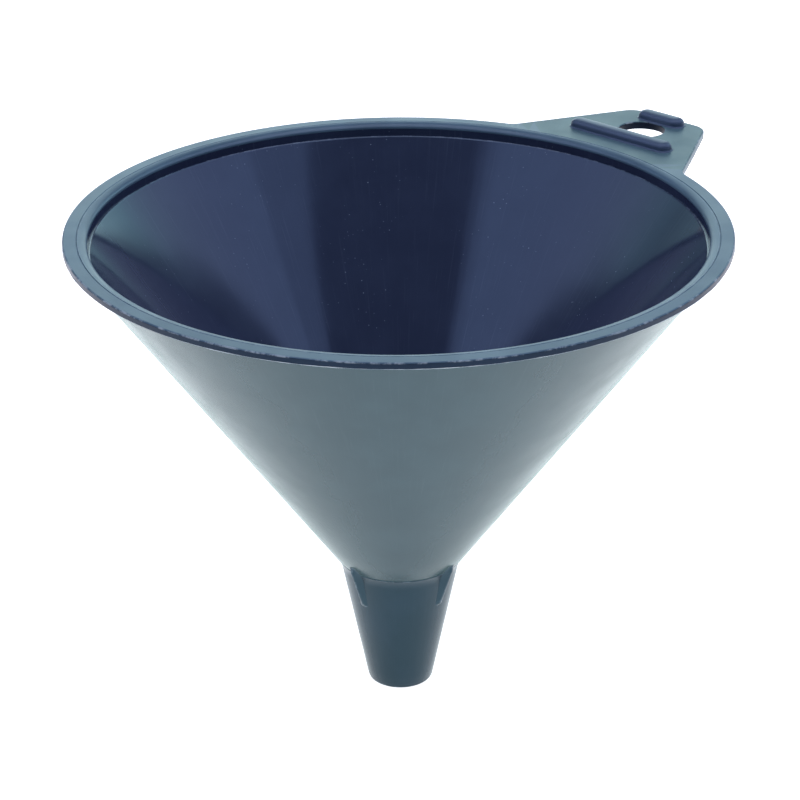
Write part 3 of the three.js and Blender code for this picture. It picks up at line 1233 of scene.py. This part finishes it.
@dataclass
class VentRibs:
    """The thin fins under the bowl that hold the spout off a bottle's neck."""

    sizes: Sizes
    spout: Spout
    count: int = 4
    reach: float = 1.6 * MM
    face_width: float = 0.6 * MM
    root_width: float = 2.6 * MM
    drop: float = 9.6 * MM
    toe: float = 0.5 * MM
    upright: float = 1.2 * MM
    sunk: float = 0.6 * MM
    skin: float = 0.03 * MM
    below_toe: float = 0.8 * MM
    above_crease: float = 2.6 * MM
    toe_slope: float = 1.2
    face_dome: float = 0.04
    flank_power: float = 1.15
    column_power: float = 1.2
    crisp_degrees: float = 70.0
    crest_depth: float = 0.12 * MM
    crest_highlight: float = 0.25
    levels: int = 36
    half_steps: int = 9

    def wall(self, height: float) -> float:
        """Outer radius of the spout, the shoulder or the bowl behind the fin.

        Args:
            height: the height in metres.

        Returns:
            The radius in metres.
        """
        s = self.sizes
        if height < s.spout_length:
            taper = (s.spout_top_radius - s.spout_tip_radius) / s.spout_length
            return s.spout_tip_radius + taper * height
        if height < s.crease_height:
            return self.spout.shoulder_radius(height)
        slope = (s.bowl_top_radius - s.bowl_bottom_radius) / (s.flange_underside - s.crease_height)
        return s.bowl_bottom_radius + slope * (height - s.crease_height)

    def edge(self, height: float) -> float:
        """Radius of the fin's outer face, which leans in from the top to the toe.

        Args:
            height: the height in metres.

        Returns:
            The radius in metres.
        """
        s = self.sizes
        low = s.crease_height - self.drop
        tip = s.bowl_bottom_radius + self.reach
        straight = s.crease_height + self.upright / 2
        foot = self.wall(low) + self.toe
        if height >= straight:
            return tip
        if height <= low:
            return foot - self.toe_slope * (low - height)
        return foot + (tip - foot) * (height - low) / (straight - low)

    def section(self, across: float) -> float:
        """How far the fin stands out at a distance from its middle.

        Args:
            across: the distance in metres.

        Returns:
            The share of its full reach, from 1 in the middle of its face to 0 at its root.
        """
        flat, foot = self.face_width / 2, self.root_width / 2
        if across <= flat:
            return 1.0 - self.face_dome * (across / flat) ** 4
        share = min(1.0, (across - flat) / (foot - flat))
        return (1.0 - self.face_dome) * (1.0 - share) ** self.flank_power

    def tree(self) -> bpy.types.NodeTree:
        """Builds the tree that sets the fin round the axis.

        Returns:
            The tree.
        """
        tree = new_tree("fins_round_axis", {"Fin Count": "NodeSocketInt",
                                            "Material": "NodeSocketMaterial"})
        given = add_node(tree, "NodeGroupInput").outputs
        spots = add_node(tree, "GeometryNodePoints", {"Count": given["Fin Count"]}).outputs[0]
        index = add_node(tree, "GeometryNodeInputIndex").outputs[0]
        turn = maths(tree, "DIVIDE", maths(tree, "MULTIPLY", index, math.tau), given["Fin Count"])
        rotation = add_node(tree, "ShaderNodeCombineXYZ", {"Z": turn}).outputs[0]
        placed = add_node(tree, "GeometryNodeInstanceOnPoints", {
            "Points": spots, "Instance": given["Geometry"], "Rotation": rotation}).outputs[0]
        end_tree(tree, placed, given["Material"])
        return tree

    def build(self) -> bpy.types.Object:
        """Makes all the fins.

        Returns:
            The piece.
        """
        s = self.sizes
        low = s.crease_height - self.drop - self.below_toe
        high = s.crease_height + self.above_crease
        foot = self.root_width / 2
        steps = [foot * (i / self.half_steps) ** self.column_power
                 for i in range(self.half_steps + 1)]
        columns = [*(-t for t in reversed(steps[1:])), *steps]
        points: list[tuple[float, float, float]] = []
        faces: list[list[int]] = []
        for level in range(self.levels + 1):
            height = low + (high - low) * level / self.levels
            wall, out = self.wall(height), max(0.0, self.edge(height) - self.wall(height))
            for t in columns:
                surface = math.sqrt(max(wall * wall - t * t, 0.0)) - self.skin
                points.append((surface + out * self.section(abs(t)), t, height))
        count = len(columns)
        for level in range(self.levels):
            for i in range(count - 1):
                a = level * count + i
                faces.append([a, a + 1, a + count + 1, a + count])
        self._close(points, faces, count)
        piece = link_mesh("vent_ribs", points, faces)
        tidy_mesh(piece, self.crisp_degrees)
        run_tree(piece, self.tree(), {"Fin Count": self.count, "Material": VENT.build()})
        tidy_mesh(piece, self.crisp_degrees)
        # Paints a pale highlight along each fin's outer face.
        layer = piece.data.attributes.new(WEAR_AND_HIGHLIGHT, "FLOAT", "POINT")
        for vertex, value in zip(piece.data.vertices, layer.data):
            crest = vertex.co.xy.length - self.edge(vertex.co.z) > -self.crest_depth
            value.value = self.crest_highlight if crest else 0.0
        register(piece, *(f"vent_rib_{n}" for n in range(1, self.count + 1)))
        return piece

    def _close(self, points: list, faces: list, count: int) -> None:
        """Closes the fin with a back that is sunk in the wall.

        Args:
            points: the fin's corners, which the back's are added to.
            faces: the fin's faces, which the back's and the sides' are added to.
            count: the number of corners across the fin.
        """
        front = len(points)
        for _, y, z in points[:front]:
            points.append((self.wall(z) - self.sunk, y, z))
        rows = front // count
        for level in range(rows - 1):
            for i in range(count - 1):
                a = front + level * count + i
                faces.append([a + 1, a, a + count, a + count + 1])
            for i in (0, count - 1):
                a = level * count + i
                faces.append([a, a + count, a + count + front, a + front])
        for level in (0, rows - 1):
            for i in range(count - 1):
                a = level * count + i
                faces.append([a, a + 1, a + 1 + front, a + front])


# Mould flash


@dataclass
class MouldFlash:
    """The ragged thread of plastic that the mould's parting line leaves round the rim, drawn pale as
    a painted highlight line.
    """

    plate: RimPlate
    thread: float = 0.085 * MM
    rough: float = 0.16 * MM
    seed: float = 7.0
    samples: int = 1400
    patch_size: float = 6 * MM
    jag_size: float = 1.1 * MM
    least: float = 0.01 * MM
    above_edge: float = 0.2 * MM
    crisp_degrees: float = 80.0

    def tree(self) -> bpy.types.NodeTree:
        """Builds the tree that lays a thread of changing thickness along a loop.

        Returns:
            The tree.
        """
        tree = new_tree("ragged_thread", {"Thread Radius": "NodeSocketFloat",
                                          "Roughness": "NodeSocketFloat",
                                          "Seed": "NodeSocketFloat",
                                          "Material": "NodeSocketMaterial"})
        given = add_node(tree, "NodeGroupInput").outputs
        curve = add_node(tree, "GeometryNodeMeshToCurve", {0: given["Geometry"]}).outputs[0]
        even = add_node(tree, "GeometryNodeResampleCurve", {"Curve": curve, "Count": self.samples})
        patchy = add_node(tree, "ShaderNodeTexNoise", {
            "W": given["Seed"], "Scale": 1 / self.patch_size, "Detail": 3.0}, noise_dimensions="4D")
        jag = add_node(tree, "ShaderNodeTexNoise", {
            "W": given["Seed"], "Scale": 1 / self.jag_size, "Detail": 3.0}, noise_dimensions="4D")
        amount = ramp(tree, patchy.outputs[0], 0.42, 0.66)
        step = maths(tree, "SUBTRACT", jag.outputs[0], 0.5)
        lift = maths(tree, "MULTIPLY", maths(tree, "MULTIPLY", step, given["Roughness"]), amount)
        shift = add_node(tree, "ShaderNodeCombineXYZ", {"Z": lift}).outputs[0]
        moved = add_node(tree, "GeometryNodeSetPosition", {
            "Geometry": even.outputs[0], "Offset": shift}).outputs[0]
        width = maths(tree, "MULTIPLY", given["Thread Radius"],
                      maths(tree, "MULTIPLY", amount, maths(tree, "ADD", jag.outputs[0], 0.4)))
        thick = maths(tree, "ADD", width, self.least)
        profile = add_node(tree, "GeometryNodeCurvePrimitiveCircle", {
            "Resolution": 6, "Radius": 1.0}, mode="RADIUS").outputs[0]
        swept = tree.nodes.new("GeometryNodeCurveToMesh")
        tree.links.new(moved, swept.inputs["Curve"])
        tree.links.new(profile, swept.inputs["Profile Curve"])
        tree.links.new(thick, swept.inputs["Scale"])
        end_tree(tree, swept.outputs[0], given["Material"])
        return tree

    def build(self) -> bpy.types.Object:
        """Makes the thread along the rim's outer face, just above its lower edge.

        Returns:
            The piece.
        """
        loop = self.plate.outline()
        points = [(p.x, p.y, self.plate.underside(p.x) + self.above_edge) for p, _ in loop]
        piece = link_mesh("rim_mould_flash", points, [])
        edges = [(i, (i + 1) % len(points)) for i in range(len(points))]
        mesh = bpy.data.meshes.new("rim_mould_flash")
        mesh.from_pydata(points, edges, [])
        piece.data = mesh
        run_tree(piece, self.tree(), {"Thread Radius": self.thread, "Roughness": self.rough,
                                      "Seed": self.seed, "Material": FLASH_HIGHLIGHT.build()})
        tidy_mesh(piece, self.crisp_degrees)
        register(piece)
        return piece


# Studio


@dataclass
class Studio:
    """A pale floor, soft light and the camera."""

    camera_turn: float = math.radians(43.0)
    camera_distance: float = 532.43 * MM
    camera_height: float = 325.28 * MM
    camera_pitch: float = 0.4403
    camera_roll: float = -0.0046
    lens: float = 112.5
    sensor: float = 36.0
    shift: float = 0.0009
    floor_half: float = 12.0
    floor_glow: float = 0.93
    horizon: tuple[float, float] = (0.02, 0.1)
    scrim_glow: float = 1.35
    scrim_base: float = 100.0 * MM
    scrim_tint: tuple[float, float, float, float] = (1.0, 0.94, 1.34, 1.0)
    far_tint: tuple[float, float, float, float] = (0.62, 0.98, 1.06, 1.0)
    card_tint: tuple[float, float, float] = (0.76, 1.0, 0.99)
    top_height: float = 1.6
    top_side: float = 1.4
    top_glow: float = 1.5
    card_stand: float = 1.4
    card_width: float = 0.9
    top_tint: tuple[float, float, float] = (1.15, 1.0, 1.1)
    card_glow: float = 1.75

    def direction(self, turn_degrees: float, rise_degrees: float = 0.0) -> Vector:
        """A direction from the funnel, where 0 is towards the camera and 90 is to its right.

        Args:
            turn_degrees: the angle round the funnel.
            rise_degrees: the angle above the floor.

        Returns:
            A vector of length one.
        """
        a = math.radians(turn_degrees)
        e = math.radians(rise_degrees)
        away = Vector((math.cos(self.camera_turn), math.sin(self.camera_turn), 0.0))
        right = Vector((math.sin(self.camera_turn), -math.cos(self.camera_turn), 0.0))
        flat = right * math.sin(a) - away * math.cos(a)
        return flat * math.cos(e) + Vector((0.0, 0.0, math.sin(e)))

    def build_camera(self) -> None:
        """Sets up the camera."""
        data = bpy.data.cameras.new("camera")
        data.lens, data.sensor_width, data.shift_x = self.lens, self.sensor, self.shift
        data.clip_start, data.clip_end = 0.02, 60.0
        camera = bpy.data.objects.new("camera", data)
        bpy.context.scene.collection.objects.link(camera)
        toward = self.direction(0.0)
        camera.location = toward * self.camera_distance + Vector((0.0, 0.0, self.camera_height))
        turn = Matrix.Rotation(self.camera_turn - math.pi / 2, 4, "Z")
        pitch = Matrix.Rotation(math.pi / 2 - self.camera_pitch, 4, "X")
        roll = Matrix.Rotation(self.camera_roll, 4, "Z")
        camera.rotation_euler = (turn @ pitch @ roll).to_euler()
        bpy.context.scene.camera = camera
        bpy.context.scene.view_settings.view_transform = "Standard"

    def build_floor(self) -> None:
        """Lays a wide white shooting table that glows a little from below."""
        h = self.floor_half
        floor = link_mesh("floor", [(-h, -h, 0), (h, -h, 0), (h, h, 0), (-h, h, 0)], [[0, 1, 2, 3]])
        material = bpy.data.materials.new("opal_acrylic_table")
        tree = blank_tree(material)
        place = add_node(tree, "ShaderNodeTexCoord").outputs["Object"]
        haze = noise(tree, place, 300 * MM)
        shader = add_node(tree, "ShaderNodeBsdfPrincipled", {
            "Base Color": (0.8, 0.8, 0.8, 1.0), "Specular IOR Level": 0.0,
            "Roughness": ramp(tree, haze, 0.3, 0.7, 0.85, 0.95),
            "Emission Color": (1.0, 1.0, 1.0, 1.0), "Emission Strength": self.floor_glow})
        add_node(tree, "ShaderNodeOutputMaterial", {"Surface": shader.outputs[0]})
        floor.data.materials.append(material)

    def build_world(self) -> None:
        """Sets a dim room with a white horizon."""
        world = bpy.data.worlds.new("room")
        tree = blank_tree(world)
        place = add_node(tree, "ShaderNodeTexCoord").outputs["Generated"]
        up = add_node(tree, "ShaderNodeSeparateXYZ", {0: place}).outputs["Z"]
        glow = ramp(tree, up, *self.horizon)
        colour = blend_colour(tree, glow, (1.0, 1.0, 1.0, 1.0), (0.1, 0.115, 0.14, 1.0))
        back = add_node(tree, "ShaderNodeBackground", {"Color": colour, "Strength": 1.0})
        add_node(tree, "ShaderNodeOutputWorld", {"Surface": back.outputs[0]})
        bpy.context.scene.world = world

    def add_light(self, name: str, centre: Vector, out: Vector, up: Vector, width: float,
                  height: float, glow: float,
                  colour: tuple[float, float, float] = (1.0, 1.0, 1.0)) -> None:
        """Adds one rectangular softbox.

        Args:
            name: the light's name.
            centre: its middle.
            out: the direction from the funnel to the light, which shines the other way.
            up: the direction of its height.
            width: its size across.
            height: its size up.
            glow: the brightness of its face.
            colour: its tint.
        """
        data = bpy.data.lights.new(name, "AREA")
        data.shape, data.size, data.size_y = "RECTANGLE", width, height
        data.energy = glow * width * height * math.pi
        data.color = colour
        light = bpy.data.objects.new(name, data)
        across = up.cross(out).normalized()
        turn = Matrix((across, up, out)).transposed().to_4x4()
        light.matrix_world = Matrix.Translation(centre) @ turn
        bpy.context.scene.collection.objects.link(light)

    def add_scrim(self, name: str, turn: float, stand: float, corners: list[tuple[float, float]],
                  glow: float, far_share: float = 1.0) -> None:
        """Adds a flat glowing scrim, which hides the scrims that stand behind it.

        Args:
            name: the scrim's name.
            turn: the direction that it stands in, positive to the camera's right.
            stand: its distance.
            corners: each corner's place away from the camera and up, in stand distances.
            glow: the brightness of its face.
            far_share: the share of the brightness that is left at its far end.
        """
        out = self.direction(turn)
        along = self.direction(turn + math.copysign(90.0, turn))
        up = Vector((0.0, 0.0, 1.0))
        points = [(out + along * a + up * h) * stand + up * self.scrim_base for a, h in corners]
        scrim = link_mesh(name, points, [list(range(len(points)))])
        material = bpy.data.materials.new(name)
        tree = blank_tree(material)
        place = add_node(tree, "ShaderNodeTexCoord").outputs["Object"]
        travel = add_node(tree, "ShaderNodeVectorMath", {0: place, 1: along / stand},
                          operation="DOT_PRODUCT").outputs["Value"]
        full = glow * self.scrim_glow
        colour = blend_colour(tree, ramp(tree, travel, 0.3, 2.4), self.scrim_tint, self.far_tint)
        light = add_node(tree, "ShaderNodeEmission", {
            "Color": colour,
            "Strength": ramp(tree, travel, 0.3, 3.0, full, full * far_share)})
        add_node(tree, "ShaderNodeOutputMaterial", {"Surface": light.outputs[0]})
        scrim.data.materials.append(material)
        scrim.visible_camera = False
        scrim.visible_shadow = False

    def add_top(self) -> None:
        """Hangs a softbox straight above the funnel."""
        up, toward = Vector((0.0, 0.0, 1.0)), self.direction(0.0)
        self.add_light("top_box", up * self.top_height, up, toward, self.top_side, self.top_side,
                       self.top_glow, self.top_tint)

    def build_lights(self) -> None:
        """Places long scrims on both sides, a softbox above and two cards behind the funnel."""
        low, high, far = 0.66, 2.6, 12.0
        right, left = 68.0, -65.0
        self.add_scrim("scrim_right", right, 4.0,
                       [(0.035, low), (0.5, 0.63), (1.5, 0.59), (far, 0.54), (far, high),
                        (0.035, high)], 1.0, 1.4)
        self.add_scrim("scrim_right_lean", right, 4.05,
                       [(-0.07, low), (0.2, low), (0.2, high), (-1.39, high)], 0.72)
        self.add_scrim("scrim_left", left, 4.0,
                       [(-0.3, 0.7), (0.5, 0.65), (1.5, 0.61), (far, 0.56), (far, high),
                        (-0.3, high)], 1.0, 0.35)
        self.add_scrim("scrim_left_edge", left, 4.03,
                       [(-0.4, low), (-0.2, low), (-0.2, high), (-0.4, high)], 0.8)
        self.add_scrim("scrim_left_rim", left, 4.06,
                       [(-0.49, low), (-0.2, low), (-0.2, high), (-0.49, high)], 0.4)
        self.add_top()
        up = Vector((0.0, 0.0, 1.0))
        behind = self.direction(180.0)
        self.add_light("back_card", behind * self.card_stand + up * 0.5, behind, up,
                       self.card_width, 0.7, self.card_glow, self.card_tint)
        self.add_light("back_card_high", behind * self.card_stand + up * 1.1, behind, up,
                       self.card_width, 0.5, 0.5 * self.card_glow, self.card_tint)


def main() -> None:
    """Builds the studio and every piece of the funnel."""
    logging.basicConfig(level=logging.INFO, format="%(name)s: %(message)s")
    studio = Studio()
    studio.build_camera()
    sizes = Sizes.read()
    turner = Turner()
    Bowl(sizes, turner).build()
    RimCollar(sizes, turner).build()
    plate = RimPlate(sizes)
    plate.build()
    TabRib("tab_long_rib", "tab_rib_long", sizes).build()
    TabRib("tab_short_rib", "tab_rib_short", sizes).build()
    spout = Spout(sizes, turner)
    spout.build_shoulder()
    spout.build_tube()
    VentRibs(sizes, spout).build()
    MouldFlash(plate).build()
    studio.build_floor()
    studio.build_world()
    studio.build_lights()


if __name__ == "__main__":
    main()
